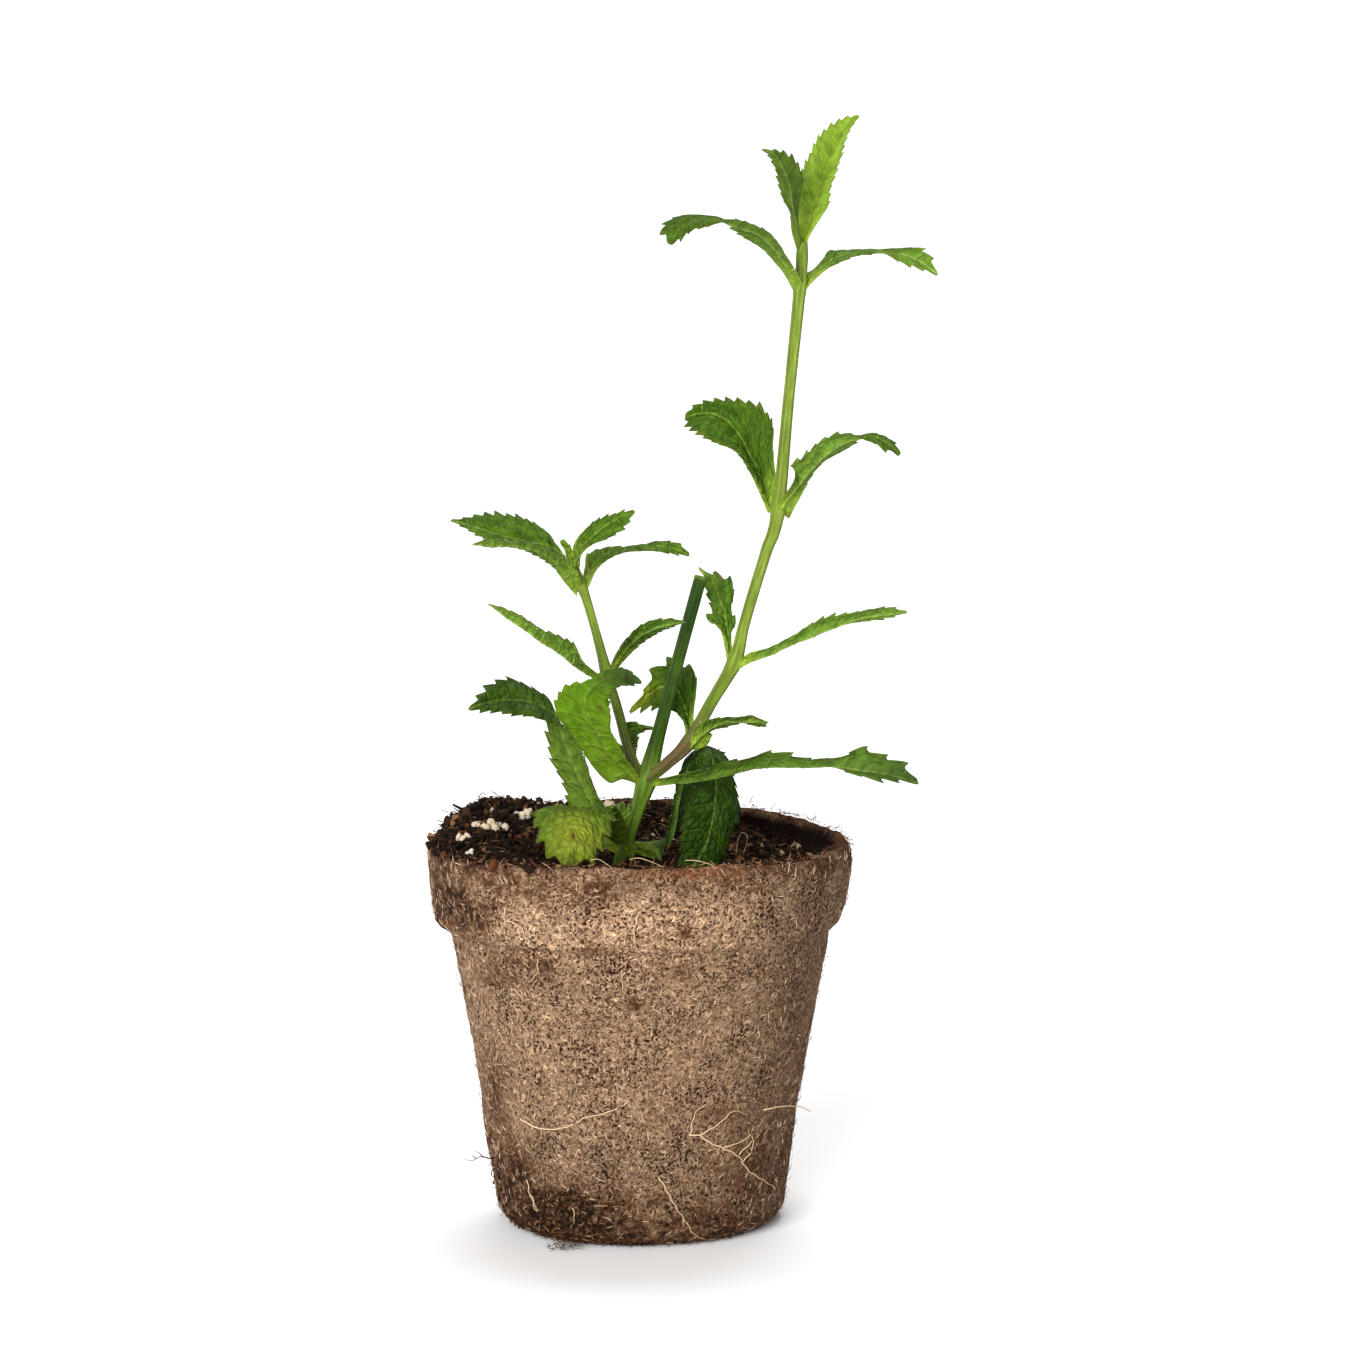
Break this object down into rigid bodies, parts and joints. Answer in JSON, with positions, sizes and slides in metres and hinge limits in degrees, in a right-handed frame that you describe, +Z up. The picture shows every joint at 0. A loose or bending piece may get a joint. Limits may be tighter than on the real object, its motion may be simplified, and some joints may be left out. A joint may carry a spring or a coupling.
{
  "type": "potted purpletop vervain",
  "caption": "Young vervain plant with toothed leaf pairs on upright side shoots, growing in peat compost in a round tapered pot of pressed fibre with a collar.",
  "frame": {"origin": "centre of the pot's flat base, where it stands", "axes": "+Z up; -Y towards the viewer of the picture; +X to the viewer's right, where the long shoot leans"},
  "size_m": [0.1082, 0.09, 0.2361],
  "materials": {
    "pressed_fibre": "matt pressed wood and peat fibre, buff to brown, with stains",
    "peat_compost": "damp dark crumbs with fibres and white perlite",
    "main_stem": "dull green square stem with darker edges",
    "side_shoot": "pale yellow-green square stem with fine hairs",
    "leaf": "rough dark green leaf, net-veined, paler below",
    "young_leaf": "yellow-green leaf, net-veined, paler below"
  },
  "bodies": {
    "root": {"pot": "pressed_fibre", "soil": "peat_compost", "main_stem": "main_stem", "left_shoot": "side_shoot", "right_shoot": "side_shoot", "leaf_low_front": "young_leaf", "leaf_low_inner": "leaf", "leaf_low_left": "leaf", "leaf_low_right": "leaf", "leaf_top_left": "young_leaf", "leaf_top_right": "leaf", "leaf_left_first": "leaf", "leaf_left_2a": "leaf", "leaf_left_2b": "leaf", "leaf_left_3a": "leaf", "leaf_left_3b": "leaf", "leaf_left_3c": "leaf", "leaf_left_3d": "leaf", "leaf_right_1a": "leaf", "leaf_right_1b": "leaf", "leaf_right_2a": "leaf", "leaf_right_2b": "leaf", "leaf_right_3a": "leaf", "leaf_right_3b": "leaf", "leaf_right_4a": "leaf", "leaf_right_4b": "leaf", "leaf_right_5a": "young_leaf", "leaf_right_5b": "leaf"}
  },
  "joints": []
}
